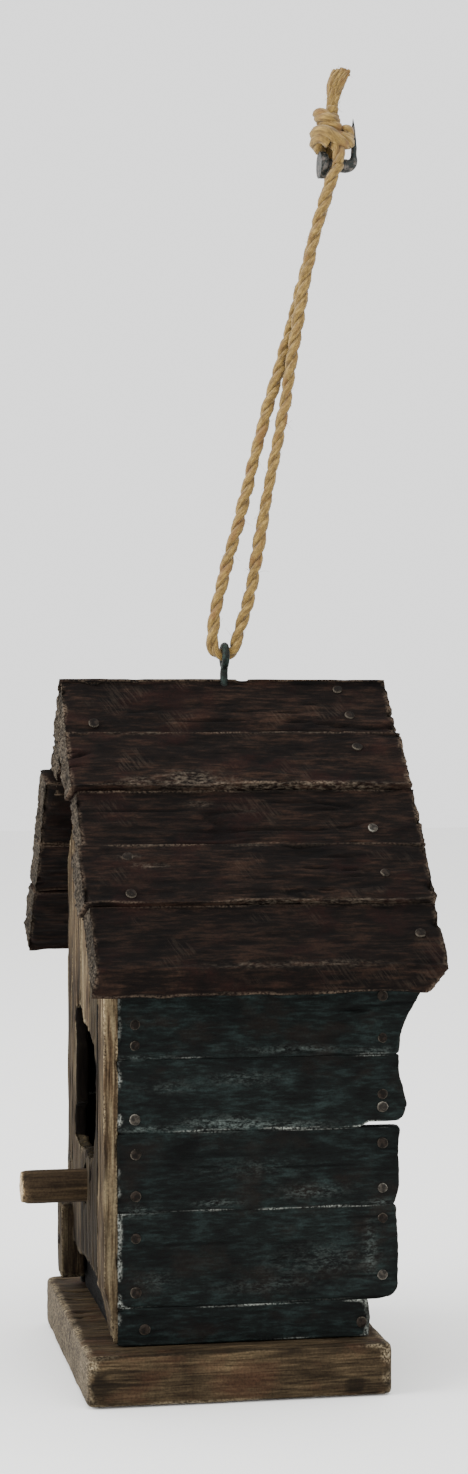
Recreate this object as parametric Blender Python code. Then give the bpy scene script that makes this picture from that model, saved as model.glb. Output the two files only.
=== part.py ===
"""Weathered plank birdhouse, hung by a loop of twisted cord from a forged hook.

Sizes are in millimetres and are turned into metres as they are placed. +Z is up, the front
with its entrance hole looks towards -Y, and the ridge of the roof runs along Y. The house is
laid out about the middle of its base board's underside, and everything is then moved so that
the world's origin is on the back of the hook's collar, where the hook is fixed.
"""
import math

import bmesh
import bpy
from mathutils import Matrix, Vector

MM = 0.001
GAP = 0.3            # clearance between pieces that touch

# Base board
BASE_X, BASE_Y, BASE_Z = 110.0, 90.0, 14.3
BASE_CORNER = 2.2

# Walls. Side planks lie between the front planks and run past the back boards.
WALL_HALF = 46.0     # outer face of the side planks
SIDE_T = 5.0
FRONT_Y = -35.0      # front ends of the side planks
FRONT_T = 4.5
BACK_Y = 41.0        # outer face of the back boards
BACK_T = 5.0
SEAMS = (14.3, 25.5, 53.9, 77.5, 99.3, 123.5)      # heights of the joints between side planks
FRONT_SEAMS = (46.0, 31.0, 12.0, -10.0, -33.0, -46.0)   # X of the joints between front planks
FRONT_ENDS = (14.6, 31.0, 31.0, 29.5, 43.4)        # height at which each front plank ends
FOOT_T = 8.0         # the proud short plank under the far front plank

# Roof: five boards a side, laid front to back, the second and fourth thicker
RIDGE_Z = 213.0
EAVE_X, EAVE_DROP = 79.0, 83.0
ROOF_T = (6.6, 7.8, 6.4, 7.7, 6.8)
SLOPE = math.atan2(EAVE_DROP, EAVE_X)
BOARD_W = math.hypot(EAVE_X, EAVE_DROP) / 5

# Perch, nails and ironwork
PERCH_R, PERCH_TIP, PERCH_Z = 5.0, -59.6, 54.7
NAIL_R, NAIL_CROWN, SHANK_R, SHANK_L = 1.6, 0.9, 0.7, 3.6
EYE_Y, EYE_Z = 5.2, 220.6
EYE_R, EYE_WIRE, EYE_DEPTH = 3.25, 0.95, 9.0
CORD_R = 1.65
BAR_Y, BAR_Z, BAR_R = (38.0, 47.4), 377.7, 2.1
COLLAR_Y, COLLAR_R = (36.0, 38.5), 4.2
STRAND_X = BAR_R + GAP + CORD_R          # each strand passes this far from the bar's middle
STRAND_Y = 41.5

ORIGIN = Vector((0.0, COLLAR_Y[0], BAR_Z))    # back of the collar, in house millimetres

# The loop of cord: (Y, Z) of the two strands on their way up from the eye, the strand that
# goes behind the bar first
LOOP_R = 3.9
LOOP_Z = EYE_Z + EYE_R - EYE_WIRE - GAP - CORD_R      # lowest point of the cord's middle
REAR_STRAND = ((1.5, 226.2), (2.0, 232.1), (3.3, 238.5), (6.5, 251.2), (10.1, 263.9),
               (13.3, 276.7), (18.2, 295.9), (22.4, 310.0), (29.3, 334.4), (34.0, 353.7),
               (38.2, 367.3))
FORE_STRAND = ((9.3, 226.2), (11.3, 232.2), (13.2, 238.5), (15.6, 251.3), (17.8, 264.0),
               (20.1, 276.8), (24.0, 296.0), (26.4, 310.0), (30.3, 334.4), (34.4, 353.7),
               (38.4, 367.3))
LEAN = 0.2           # how far a strand leans towards -Y for each millimetre that it stands out


def place(x, y, z):
    """House millimetres to world metres."""
    return (Vector((x, y, z)) - ORIGIN) * MM


# ---------------------------------------------------------------- scene and materials
for old in list(bpy.data.objects):
    bpy.data.objects.remove(old, do_unlink=True)
PARTS = bpy.data.collections.new("birdhouse")
CUTTERS = bpy.data.collections.new("cutters")
for group in (PARTS, CUTTERS):
    bpy.context.scene.collection.children.link(group)


def material(name, rgb, rough, metal=0.0):
    mat = bpy.data.materials.new(name)
    mat.use_nodes = True
    shader = mat.node_tree.nodes["Principled BSDF"]
    shader.inputs["Base Color"].default_value = (*rgb, 1.0)
    shader.inputs["Roughness"].default_value = rough
    shader.inputs["Metallic"].default_value = metal
    return mat


ROOF_WOOD = material("roof_wood", (0.060, 0.034, 0.028), 0.8)
BLUE_PAINT = material("blue_paint", (0.025, 0.045, 0.055), 0.75)
BARE_WOOD = material("bare_wood", (0.180, 0.125, 0.075), 0.85)
BASE_WOOD = material("base_wood", (0.110, 0.085, 0.058), 0.85)
DARK_IRON = material("dark_iron", (0.035, 0.036, 0.036), 0.6, 0.9)
JUTE = material("jute", (0.420, 0.330, 0.190), 0.95)


# ---------------------------------------------------------------- building blocks
def as_piece(obj, name, mat):
    """Names an object and its mesh, gives its material and files it with the parts."""
    obj.name = obj.data.name = name
    obj.data.materials.clear()
    obj.data.materials.append(mat)
    PARTS.objects.link(obj)
    return obj


def meshed(curve_obj):
    """The mesh of a curve object, its caps welded on, in a new object at the same place."""
    mesh = bpy.data.meshes.new_from_object(curve_obj)
    shape = bmesh.new()
    shape.from_mesh(mesh)
    bmesh.ops.remove_doubles(shape, verts=shape.verts, dist=1e-6)
    bmesh.ops.recalc_face_normals(shape, faces=shape.faces)
    shape.to_mesh(mesh)
    shape.free()
    obj = bpy.data.objects.new(curve_obj.name, mesh)
    obj.matrix_world = curve_obj.matrix_world.copy()
    bpy.data.objects.remove(curve_obj, do_unlink=True)
    return obj


def slab(outline, low, high, across):
    """A flat outline given thickness from low to high along the axis named by across.

    The outline is (Y, Z) pairs across X, (X, Z) pairs across Y, or (X, Y) pairs across Z.
    """
    curve = bpy.data.curves.new("outline", "CURVE")
    curve.dimensions, curve.fill_mode = "2D", "BOTH"
    curve.extrude = (high - low) / 2 * MM
    spline = curve.splines.new("POLY")
    spline.points.add(len(outline) - 1)
    for point, (a, b) in zip(spline.points, outline):
        point.co = (a * MM, b * MM, 0.0, 1.0)
    spline.use_cyclic_u = True
    middle = (low + high) / 2
    first, second, third, centre = {
        "X": ((0, 1, 0), (0, 0, 1), (1, 0, 0), (middle, 0, 0)),
        "Y": ((1, 0, 0), (0, 0, 1), (0, -1, 0), (0, middle, 0)),
        "Z": ((1, 0, 0), (0, 1, 0), (0, 0, 1), (0, 0, middle)),
    }[across]
    turn = Matrix((first, second, third)).transposed().to_4x4()
    obj = bpy.data.objects.new("outline", curve)
    obj.matrix_world = Matrix.Translation(place(*centre)) @ turn
    return meshed(obj)


def tube(points, radius, sides=2, radii=None):
    """A round bar through points (house millimetres), with closed ends."""
    curve = bpy.data.curves.new("tube", "CURVE")
    curve.dimensions = "3D"
    curve.bevel_depth, curve.bevel_resolution = radius * MM, sides
    curve.use_fill_caps = True
    spline = curve.splines.new("POLY")
    spline.points.add(len(points) - 1)
    for n, point in enumerate(points):
        spline.points[n].co = (*place(*point), 1.0)
        spline.points[n].radius = radii[n] if radii else 1.0
    return meshed(bpy.data.objects.new("tube", curve))


def closed_ring(points, radius):
    curve = bpy.data.curves.new("ring", "CURVE")
    curve.dimensions = "3D"
    curve.bevel_depth, curve.bevel_resolution = radius * MM, 2
    spline = curve.splines.new("POLY")
    spline.points.add(len(points) - 1)
    for n, point in enumerate(points):
        spline.points[n].co = (*place(*point), 1.0)
    spline.use_cyclic_u = True
    return meshed(bpy.data.objects.new("ring", curve))


def turned(profile, sides, at, along):
    """A profile of (radius, height) pairs turned about an axis through at, pointing along."""
    shape = bmesh.new()
    line = [shape.verts.new((r * MM, 0.0, h * MM)) for r, h in profile]
    edges = [shape.edges.new(pair) for pair in zip(line, line[1:])]
    bmesh.ops.spin(shape, geom=line + edges, cent=(0, 0, 0), axis=(0, 0, 1),
                   angle=2 * math.pi, steps=sides, use_duplicate=False)
    bmesh.ops.remove_doubles(shape, verts=shape.verts, dist=1e-6)
    bmesh.ops.recalc_face_normals(shape, faces=shape.faces)
    mesh = bpy.data.meshes.new("turned")
    shape.to_mesh(mesh)
    shape.free()
    obj = bpy.data.objects.new("turned", mesh)
    turn = Vector((0, 0, 1)).rotation_difference(Vector(along)).to_matrix().to_4x4()
    obj.matrix_world = Matrix.Translation(place(*at)) @ turn
    return obj


def combine(obj, other, operation):
    """Adds or takes away another solid, which stays in the file as a hidden cutter."""
    other.name = obj.name + "_" + operation.lower()
    CUTTERS.objects.link(other)
    other.hide_render, other.display_type = True, "WIRE"
    step = obj.modifiers.new(operation.lower(), "BOOLEAN")
    step.operation, step.solver, step.object = operation, "EXACT", other
    return obj


def smooth(obj):
    for face in obj.data.polygons:
        face.use_smooth = True
    return obj


def drill(obj, at, along, radius, depth, sides=8):
    """A round hole from depth behind at to a little in front of it."""
    return combine(obj, turned([(0, -depth), (radius, -depth), (radius, 2.0), (0, 2.0)],
                               sides, at, along), "DIFFERENCE")


# ---------------------------------------------------------------- base board
def rounded_rectangle(half_x, half_y, radius, steps=3):
    """Corners of a rectangle with rounded corners, anticlockwise."""
    corners = ((1, 1, 0), (-1, 1, 90), (-1, -1, 180), (1, -1, 270))
    points = []
    for sx, sy, start in corners:
        for n in range(steps + 1):
            turn = math.radians(start + 90 * n / steps)
            points.append((sx * (half_x - radius) + radius * math.cos(turn),
                           sy * (half_y - radius) + radius * math.sin(turn)))
    return points


base = slab(rounded_rectangle(BASE_X / 2, BASE_Y / 2, BASE_CORNER), 0, BASE_Z, "Z")
as_piece(base, "base_board", BASE_WOOD)


# ---------------------------------------------------------------- side planks
def roof_underside(x):
    """Height of the underside of the roof boards at a distance from the ridge line."""
    return RIDGE_Z - abs(x) * math.tan(SLOPE) - ROOF_T[0] / math.cos(SLOPE)


# Tail of each plank behind the back boards, from its lower to its upper edge, as
# (Y, how far up the plank from 0 to 1)
TAILS = {
    1: ((40.7, 0.0), (41.2, 0.55), (40.4, 1.0)),
    2: ((44.4, 0.0), (45.6, 0.06), (47.2, 0.01), (49.6, 0.10), (49.9, 0.45), (49.3, 1.0)),
    3: ((48.8, 0.0), (50.2, 0.25), (49.8, 0.70), (50.6, 1.0)),
    4: ((50.0, 0.0), (51.6, 0.12), (52.6, 0.28), (51.4, 0.50), (50.2, 0.75), (50.4, 1.0)),
    5: ((50.4, 0.0), (50.9, 0.25), (52.6, 0.45), (56.6, 0.74), (57.0, 1.0)),
}


def side_plank(side, level):
    """One horizontal wall plank; side is 1 on the right and -1 on the left."""
    low, high = SEAMS[level - 1] + GAP / 2, SEAMS[level] - GAP / 2
    if level == 1:
        low = BASE_Z + GAP
    if level == 4:
        low += 0.7       # the open slit over the third plank's tail
    tail = [(y, low + (high - low) * share) for y, share in TAILS[level]]
    outline = [(FRONT_Y, high), (FRONT_Y, low), *tail]
    near, far = WALL_HALF - SIDE_T, WALL_HALF
    low_x, high_x = (near, far) if side > 0 else (-far, -near)
    name = ("right" if side > 0 else "left") + "_side_plank_%d" % level
    return as_piece(slab(outline, low_x, high_x, "X"), name, BLUE_PAINT)


def top_plank(side):
    """The highest side plank, bevelled to fit under the roof boards."""
    low = SEAMS[5] + GAP / 2
    inner, outer = WALL_HALF - SIDE_T, WALL_HALF
    outline = [(side * inner, low), (side * outer, low),
               (side * outer, roof_underside(outer) - GAP),
               (side * inner, roof_underside(inner) - GAP)]
    name = ("right" if side > 0 else "left") + "_side_plank_6"
    return as_piece(slab(outline, FRONT_Y, 52.0, "Y"), name, BLUE_PAINT)


planks = {(side, level): side_plank(side, level) for side in (1, -1) for level in range(1, 6)}
for side in (1, -1):
    planks[side, 6] = top_plank(side)

# ---------------------------------------------------------------- front planks
# Ragged edge of the entrance hole, as (X, Z), clockwise from its right-hand side
HOLE = ((26.5, 92), (23.5, 99.5), (11.5, 103.0), (-2, 104.0), (-7, 107.8), (-17, 108.6),
        (-26, 105.5), (-23, 101), (-20.5, 96), (-21.5, 84), (-20.5, 77), (-27, 74), (-25.5, 67.5),
        (-12, 65.2), (-2, 66.8), (9, 64.8), (20, 67.5), (24.5, 74), (27, 83))


def upright(left, right, low, high=None):
    """Outline, as (X, Z), of an upright board; its top follows the roof unless high is given."""
    a, b = right - GAP / 2, left + GAP / 2
    if high is not None:
        return [(a, low), (b, low), (b, high), (a, high)]
    peak = [0.0] if a > 0 > b else []
    return [(a, low), (b, low), *((x, roof_underside(x) - GAP) for x in (b, *peak, a))]


def front_plank(left, right, low, thick, name, high=None):
    plank = slab(upright(left, right, low, high), FRONT_Y - GAP - thick, FRONT_Y - GAP, "Y")
    return as_piece(plank, name, BARE_WOOD)


def hole_cutter():
    return slab(HOLE, FRONT_Y - 12, FRONT_Y + 3, "Y")


pairs = list(zip(FRONT_SEAMS, FRONT_SEAMS[1:]))
front = {}
for n, (right, left) in enumerate(pairs, 1):
    if n != 3:
        front[n] = front_plank(left, right, FRONT_ENDS[n - 1], FRONT_T, "front_plank_%d" % n)
right, left = pairs[2]
upper = front_plank(left, right, 90.0, FRONT_T, "front_plank_3_upper")
lower = front_plank(left, right, FRONT_ENDS[2], FRONT_T, "front_plank_3_lower", high=80.0)
for plank in (front[2], upper, lower, front[4]):
    combine(plank, hole_cutter(), "DIFFERENCE")
drill(lower, (0, FRONT_Y - 8, PERCH_Z), (0, -1, 0), PERCH_R + GAP, 14, sides=16)

# The near front plank's lower end is broken away in a slope
wedge = slab([(FRONT_Y - 8, 8.0), (FRONT_Y - 8, 38.0), (FRONT_Y - 3.6, 27.0), (FRONT_Y - 1.2, 8.0)],
             28.0, 50.0, "X")
combine(front[1], wedge, "DIFFERENCE")

foot = front_plank(FRONT_SEAMS[5] + 0.6, FRONT_SEAMS[4], 17.5, FOOT_T, "front_plank_5_foot",
                   high=43.0)
sill = slab([(-40.6, BASE_Z + GAP), (40.6, BASE_Z + GAP), (40.6, 34.0), (-40.6, 34.0)],
            FRONT_Y + 0.1, FRONT_Y + 5.6, "Y")
as_piece(sill, "front_sill", BARE_WOOD)

# ---------------------------------------------------------------- back boards
BACK_SEAMS = (40.7, 19.5, -1.0, -22.0, -40.7)
for n, (right, left) in enumerate(zip(BACK_SEAMS, BACK_SEAMS[1:]), 1):
    board = slab(upright(left, right, BASE_Z + GAP), BACK_Y - BACK_T, BACK_Y, "Y")
    as_piece(board, "back_board_%d" % n, BARE_WOOD)

# ---------------------------------------------------------------- roof boards
# front and back end of each board, right-hand slope first
ROOF_ENDS = {1: ((-47.8, 57.7), (-48.4, 57.9), (-46.8, 58.6), (-48.2, 57.6), (-46.6, 57.0)),
             -1: ((-47.2, 57.0), (-46.4, 57.8), (-49.8, 56.6), (-49.6, 57.4), (-49.9, 56.8))}


def down_slope(run, lift):
    """(X, Z) at a distance down the slope from the ridge and a height square to the slope."""
    return (run * math.cos(SLOPE) + lift * math.sin(SLOPE),
            RIDGE_Z - run * math.sin(SLOPE) + lift * math.cos(SLOPE))


def roof_board(side, level):
    """One roof board; level 1 is at the ridge and 5 at the eave, both cut upright there."""
    under, top = -ROOF_T[0], ROOF_T[level - 1] - ROOF_T[0]
    start, end = (level - 1) * BOARD_W + GAP / 2, level * BOARD_W - GAP / 2
    upper_top, upper_low = down_slope(start, top), down_slope(start, under)
    lower_top, lower_low = down_slope(end, top), down_slope(end, under)
    if level == 1:
        upper_top = (GAP / 2, RIDGE_Z - GAP / 2 * math.tan(SLOPE))
        upper_low = (GAP / 2, roof_underside(GAP / 2))
    if level == 5:
        lower_top = (EAVE_X, RIDGE_Z - EAVE_DROP + top / math.cos(SLOPE))
        lower_low = (EAVE_X, roof_underside(EAVE_X))
    outline = [(side * x, z) for x, z in (upper_top, lower_top, lower_low, upper_low)]
    name = ("right" if side > 0 else "left") + "_roof_board_%d" % level
    return as_piece(slab(outline, *ROOF_ENDS[side][level - 1], "Y"), name, ROOF_WOOD)


roof = {(side, level): roof_board(side, level) for side in (1, -1) for level in range(1, 6)}
for side in (1, -1):
    # a chip out of the ridge beside the screw eye, and half of the hole for its shank
    chip = slab([(9.2, RIDGE_Z + 3), (9.8, RIDGE_Z - 2.4), (12.2, RIDGE_Z - 3.0),
                 (13.0, RIDGE_Z + 3)], -4.0, 4.0, "X")
    combine(roof[side, 1], chip, "DIFFERENCE")
    drill(roof[side, 1], (0, EYE_Y, RIDGE_Z), (0, 0, 1), EYE_WIRE + GAP, EYE_DEPTH + 0.6)

# The back corner of the right-hand eave is broken off below its upper edge
corner = slab([(57.6, 129.4), (49.0, 119.0), (60.0, 119.0), (60.0, 129.4)], 66.0, 82.0, "X")
combine(roof[1, 5], corner, "DIFFERENCE")

# ---------------------------------------------------------------- perch
perch = turned([(0, 0), (PERCH_R, 0), (PERCH_R, 25.4), (PERCH_R - 0.6, 26.1), (0, 26.1)],
               20, (0, PERCH_TIP + 26.1, PERCH_Z), (0, -1, 0))
smooth(as_piece(perch, "perch", BASE_WOOD))


# ---------------------------------------------------------------- nails
def nail(name, host, at, along):
    """A nail with a domed head on the face of its plank, its shank in a drilled hole."""
    seat = Vector(at) + Vector(along).normalized() * GAP
    profile = [(0, -SHANK_L), (SHANK_R, -SHANK_L), (SHANK_R, 0), (NAIL_R, 0),
               (0.72 * NAIL_R, 0.65 * NAIL_CROWN), (0, NAIL_CROWN)]
    smooth(as_piece(turned(profile, 8, seat, along), name, DARK_IRON))
    drill(host, at, along, SHANK_R + GAP, SHANK_L + GAP, sides=6)


WALL_NAILS = ((5, -29.9, 103.6), (4, -29.9, 81.6), (3, -29.6, 58.8), (2, -29.6, 30.3),
              (1, -26.9, 19.2), (5, 45.7, 104.2), (4, 45.7, 83.4), (3, 45.7, 58.9),
              (2, 45.7, 32.7))
for n, (level, y, z) in enumerate(WALL_NAILS, 1):
    nail("wall_nail_%d" % n, planks[1, level], (WALL_HALF, y, z), (1, 0, 0))

ROOF_NAILS = ((1, 43.8, 14.8), (3, 43.5, 62.0), (4, 43.9, 80.9), (4, -32.9, 73.6),
              (5, 50.8, 103.3))
OUTWARDS = (math.sin(SLOPE), 0, math.cos(SLOPE))
for n, (level, y, run) in enumerate(ROOF_NAILS, 1):
    x, z = down_slope(run, ROOF_T[level - 1] - ROOF_T[0])
    nail("roof_nail_%d" % n, roof[1, level], (x, y, z), OUTWARDS)

nail("front_nail_1", front[5], (-38.5, FRONT_Y - GAP - FRONT_T, 57.0), (0, -1, 0))
nail("front_nail_2", foot, (-38.5, FRONT_Y - GAP - FOOT_T, 30.0), (0, -1, 0))

# ---------------------------------------------------------------- screw eye
shank = turned([(0, -EYE_DEPTH), (EYE_WIRE, -EYE_DEPTH), (EYE_WIRE, 5.0), (0, 5.0)],
               8, (0, EYE_Y, RIDGE_Z), (0, 0, 1))
ring = [(EYE_R * math.sin(a), EYE_Y, EYE_Z + EYE_R * math.cos(a))
        for a in (2 * math.pi * n / 20 for n in range(20))]

eye = as_piece(closed_ring(ring, EYE_WIRE), "screw_eye", DARK_IRON)
combine(smooth(eye), shank, "UNION")

# ---------------------------------------------------------------- hook
collar = turned([(0, 0), (COLLAR_R, 0), (COLLAR_R, 1.9), (COLLAR_R - 0.6, 2.5), (0, 2.5)],
                18, (0, COLLAR_Y[0], BAR_Z), (0, 1, 0))
as_piece(collar, "hook", DARK_IRON)
rise = BAR_Y[1]
arm = tube([(0, 37.2, BAR_Z), (0, 44.6, BAR_Z), (0, 46.1, BAR_Z + 0.4), (0, 47.1, BAR_Z + 1.7),
            (0, rise, BAR_Z + 3.6), (0, rise + 0.1, BAR_Z + 8.0), (0, rise, BAR_Z + 12.0),
            (0, rise - 0.1, BAR_Z + 15.0)],
           BAR_R, 2, (1.0, 1.0, 0.9, 0.62, 0.42, 0.38, 0.26, 0.09))
combine(smooth(collar), arm, "UNION")

# ---------------------------------------------------------------- cord and knot
def smooth_route(points, per_span):
    """Points on a smooth curve through the given ones (Catmull-Rom)."""
    ends = [points[0] * 2 - points[1], *points, points[-1] * 2 - points[-2]]
    route = []
    for a, b, c, d in zip(ends, ends[1:], ends[2:], ends[3:]):
        for n in range(per_span):
            t = n / per_span
            route.append(0.5 * (2 * b + (c - a) * t + (2 * a - 5 * b + 4 * c - d) * t * t
                                + (3 * b - a - 3 * c + d) * t ** 3))
    return [*route, points[-1]]


def strand(side, heights):
    """A strand's route from the eye to the bar. side is 1 for the strand that ends in front
    of the bar, on +X, and -1 for the one behind it; both start in the middle, over the eye."""
    low, high = heights[0][1], BAR_Z
    out = [side * STRAND_X * ((z - low) / (high - low)) ** 1.5 for _, z in heights]
    return [Vector((x, y - LEAN * x, z)) for x, (y, z) in zip(out, heights)]


loop_low = [Vector((0, EYE_Y + LOOP_R * math.sin(a), LOOP_Z + LOOP_R * (1 - math.cos(a))))
            for a in (math.radians(d) for d in (-60, -30, 0, 30, 60))]
top_of = {side: Vector((side * STRAND_X, STRAND_Y, BAR_Z)) for side in (1, -1)}
route = [top_of[-1], *reversed(strand(-1, REAR_STRAND)), *loop_low,
         *strand(1, FORE_STRAND), top_of[1]]
middle = smooth_route(route, 2)
# both ends are rounded over within one radius of the hinge that stands for their bend
tips = ((0.0, 1.0), (0.9, 0.84), (1.4, 0.53), (1.6, 0.22))
before = [middle[0] + Vector((0, 0, up)) for up, _ in reversed(tips[1:])]
after = [middle[-1] + Vector((0, 0, up)) for up, _ in tips[1:]]
shares = [s for _, s in reversed(tips[1:])] + [1.0] * len(middle) + [s for _, s in tips[1:]]
cord = tube([*before, *middle, *after], CORD_R, 2, shares)
smooth(as_piece(cord, "cord_loop", JUTE))

# The knot and the frayed tail above it, as one lump
KNOT = (((42.6, 380.3), 0.9), ((42.5, 381.0), 2.2), ((42.4, 382.9), 2.9), ((40.6, 385.6), 4.9),
        ((39.9, 388.0), 5.8), ((39.4, 391.0), 5.2), ((39.2, 393.6), 4.0), ((39.8, 395.6), 2.9),
        ((40.4, 398.4), 1.9), ((40.8, 402.0), 2.3), ((42.2, 406.0), 2.9), ((43.2, 409.2), 3.1))
knot = tube([(0, y, z) for (y, z), _ in KNOT], 1.0, 3, [r for _, r in KNOT])
smooth(as_piece(knot, "knot", JUTE))


# ---------------------------------------------------------------- joints
def pivot(name, at, children):
    """An empty on a joint's axis, with the pieces that turn about it as its children."""
    empty = bpy.data.objects.new(name, None)
    empty.empty_display_size = 0.01
    empty.matrix_world = Matrix.Translation(place(*at))
    PARTS.objects.link(empty)
    for child in children:
        child.parent = empty
        child.matrix_parent_inverse = empty.matrix_world.inverted()


HANGING = [o for o in PARTS.objects if o.name not in ("hook", "knot", "cord_loop")]
pivot("cord_swing_pivot", (0, STRAND_Y, BAR_Z), [cord])
pivot("house_swing_pivot", (0, EYE_Y, LOOP_Z + LOOP_R), HANGING)
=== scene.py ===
# %% [markdown]
# # A plank birdhouse on a loop of jute cord
#
# This lesson dresses a small garden birdhouse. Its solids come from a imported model, the
# frame, and every visible piece here is built round those solids: cord twisted from two
# plies, planks with split and worn edges, and nails with dented heads.
# All lengths are thought of in millimetres and turned into metres as the last step.

# %% Load the frame
import math

import bpy
import numpy as np
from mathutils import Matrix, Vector


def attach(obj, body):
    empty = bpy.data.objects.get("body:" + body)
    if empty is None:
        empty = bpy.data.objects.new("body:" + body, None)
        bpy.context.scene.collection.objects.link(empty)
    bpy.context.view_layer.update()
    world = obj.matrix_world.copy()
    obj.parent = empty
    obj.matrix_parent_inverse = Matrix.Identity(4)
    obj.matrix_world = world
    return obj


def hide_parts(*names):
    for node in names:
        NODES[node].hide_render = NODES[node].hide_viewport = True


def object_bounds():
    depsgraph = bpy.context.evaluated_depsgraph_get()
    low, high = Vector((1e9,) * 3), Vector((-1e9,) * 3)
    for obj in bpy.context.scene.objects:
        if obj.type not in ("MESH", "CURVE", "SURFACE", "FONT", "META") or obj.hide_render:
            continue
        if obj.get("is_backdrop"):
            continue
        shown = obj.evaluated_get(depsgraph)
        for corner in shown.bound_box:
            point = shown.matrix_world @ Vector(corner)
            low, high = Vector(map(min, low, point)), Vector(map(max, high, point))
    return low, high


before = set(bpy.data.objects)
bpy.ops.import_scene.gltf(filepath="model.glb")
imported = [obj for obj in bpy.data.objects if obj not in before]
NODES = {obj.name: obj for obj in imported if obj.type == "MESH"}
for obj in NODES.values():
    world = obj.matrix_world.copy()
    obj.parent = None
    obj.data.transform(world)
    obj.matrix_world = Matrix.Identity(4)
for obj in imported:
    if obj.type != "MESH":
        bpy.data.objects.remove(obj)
CAD_BOX = [list(corner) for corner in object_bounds()]
print("frame:", len(NODES), "nodes, box", np.round(CAD_BOX, 4).tolist())

# %% [markdown]
# The frame's origin is on the back of the hook's collar, high above the house. A maker
# measures a house from the middle of its base, so one small function turns those house
# millimetres into the frame's metres.

# %% House millimetres
MM = 0.001
COLLAR_BACK = np.array((0.0, 36.0, 377.7))


def house(points):
    """House millimetres to metres in the frame."""
    return (np.asarray(points, float) - COLLAR_BACK) * MM


print("base underside at z =", round(float(house((0, 0, 0))[2]), 4))

# %% [markdown]
# The camera comes first, because everything after it is judged through it. It looks level
# at the right-hand wall, turned a little so that a sliver of the front shows, and a slight
# lens shift instead of a tilt keeps the walls upright.

# %% Camera
YAW = 0.183
forward = Vector((-math.cos(YAW), math.sin(YAW), 0.0))
eye_data = bpy.data.cameras.new("camera")
eye_data.lens, eye_data.sensor_width = 61.06, 36.0
eye_data.shift_y = -0.00717
camera = bpy.data.objects.new("camera", eye_data)
camera.location = house((780.39, -135.99, 198.36))
camera.rotation_euler = forward.to_track_quat("-Z", "Y").to_euler()
bpy.context.scene.collection.objects.link(camera)
bpy.context.scene.camera = camera
print("camera at", np.round(camera.location, 3), "lens", eye_data.lens)

# %% [markdown]
# Wood and cord are uneven everywhere, so most steps need repeatable unevenness. This is
# value noise: each cell of a lattice gets a fixed number worked out from its own indices,
# and points between cells blend their neighbours. It gives the same shape on every run.

# %% Repeatable noise


def cell_value(cells, seed):
    """A fixed number from 0 to 1 for each lattice cell."""
    n = cells.astype(np.int64)
    n = n[:, 0] * 73856093 ^ n[:, 1] * 19349663 ^ n[:, 2] * 83492791 ^ seed * 2654435761
    n = (n ^ (n >> 15)) * 2246822519 & 0xFFFFFFFF
    n = (n ^ (n >> 13)) * 3266489917 & 0xFFFFFFFF
    return ((n ^ (n >> 16)) & 0xFFFF) / 65535.0


def noise(points, size, seed=0):
    """Smooth noise from -1 to 1 whose lumps measure size millimetres along each axis."""
    q = points / np.asarray(size, float)
    base = np.floor(q)
    f = q - base
    f = f * f * (3.0 - 2.0 * f)
    total = np.zeros(len(points))
    for corner in np.ndindex(2, 2, 2):
        share = np.prod(np.where(np.array(corner) == 1, f, 1.0 - f), axis=1)
        total += share * cell_value(base + corner, seed)
    return total * 2.0 - 1.0


print("noise sample:", np.round(noise(np.array([[0.3, 0.4, 0.5]]), (1, 1, 1)), 3))

# %% [markdown]
# Every new piece ends the same way: a mesh of points and faces in metres, smooth shading,
# a material, a body to ride on, and the CAD parts it stands in for hidden. Extra numbers for
# the material, such as how worn a point is, go in as attributes of the mesh's points.

# %% Finish a piece


def finished(name, points, faces, body, material, replaces=(), marks=None):
    mesh = bpy.data.meshes.new(name)
    mesh.from_pydata(np.asarray(points, float).tolist(), [], faces)
    mesh.shade_smooth()
    for mark, values in (marks or {}).items():
        layer = mesh.attributes.new(mark, "FLOAT", "POINT")
        layer.data.foreach_set("value", np.asarray(values, np.float32))
    mesh.materials.append(material)
    piece = bpy.data.objects.new(name, mesh)
    bpy.context.scene.collection.objects.link(piece)
    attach(piece, body)
    if replaces:
        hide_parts(*replaces)
    return piece


def ring_faces(rings, sides, first=0, closed=False):
    """Quads between successive rings of points, with a flat cap at each open end."""
    faces = []
    for r in range(rings if closed else rings - 1):
        a, b = first + r * sides, first + (r + 1) % rings * sides
        faces += [(a + s, a + (s + 1) % sides, b + (s + 1) % sides, b + s)
                  for s in range(sides)]
    if not closed:
        faces.append(tuple(first + s for s in reversed(range(sides))))
        faces.append(tuple(first + (rings - 1) * sides + s for s in range(sides)))
    return faces


# %% [markdown]
# Materials are node trees. One function adds any node, with its values, links and settings,
# and hands back one of its outputs. One turns a colour written as sRGB hex, the way a paint
# chart gives it, into the linear numbers a shader wants. Masks are ranges of a pattern that
# rise smoothly from 0 to a most, and that most may be another mask.

# %% Material helpers
MASK = {"kind": "MapRange", "interpolation_type": "SMOOTHSTEP"}
OVER = {"kind": "Mix", "data_type": "RGBA", "out": 2}
# an OVER node's inputs are 0 the share, 6 the colour under and 7 the colour over it


def colour(hex_code):
    """An sRGB hex colour as linear RGBA."""
    parts = [int(hex_code[n:n + 2], 16) / 255.0 for n in (1, 3, 5)]
    return (*(c / 12.92 if c <= 0.04045 else ((c + 0.055) / 1.055) ** 2.4 for c in parts), 1.0)


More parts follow.
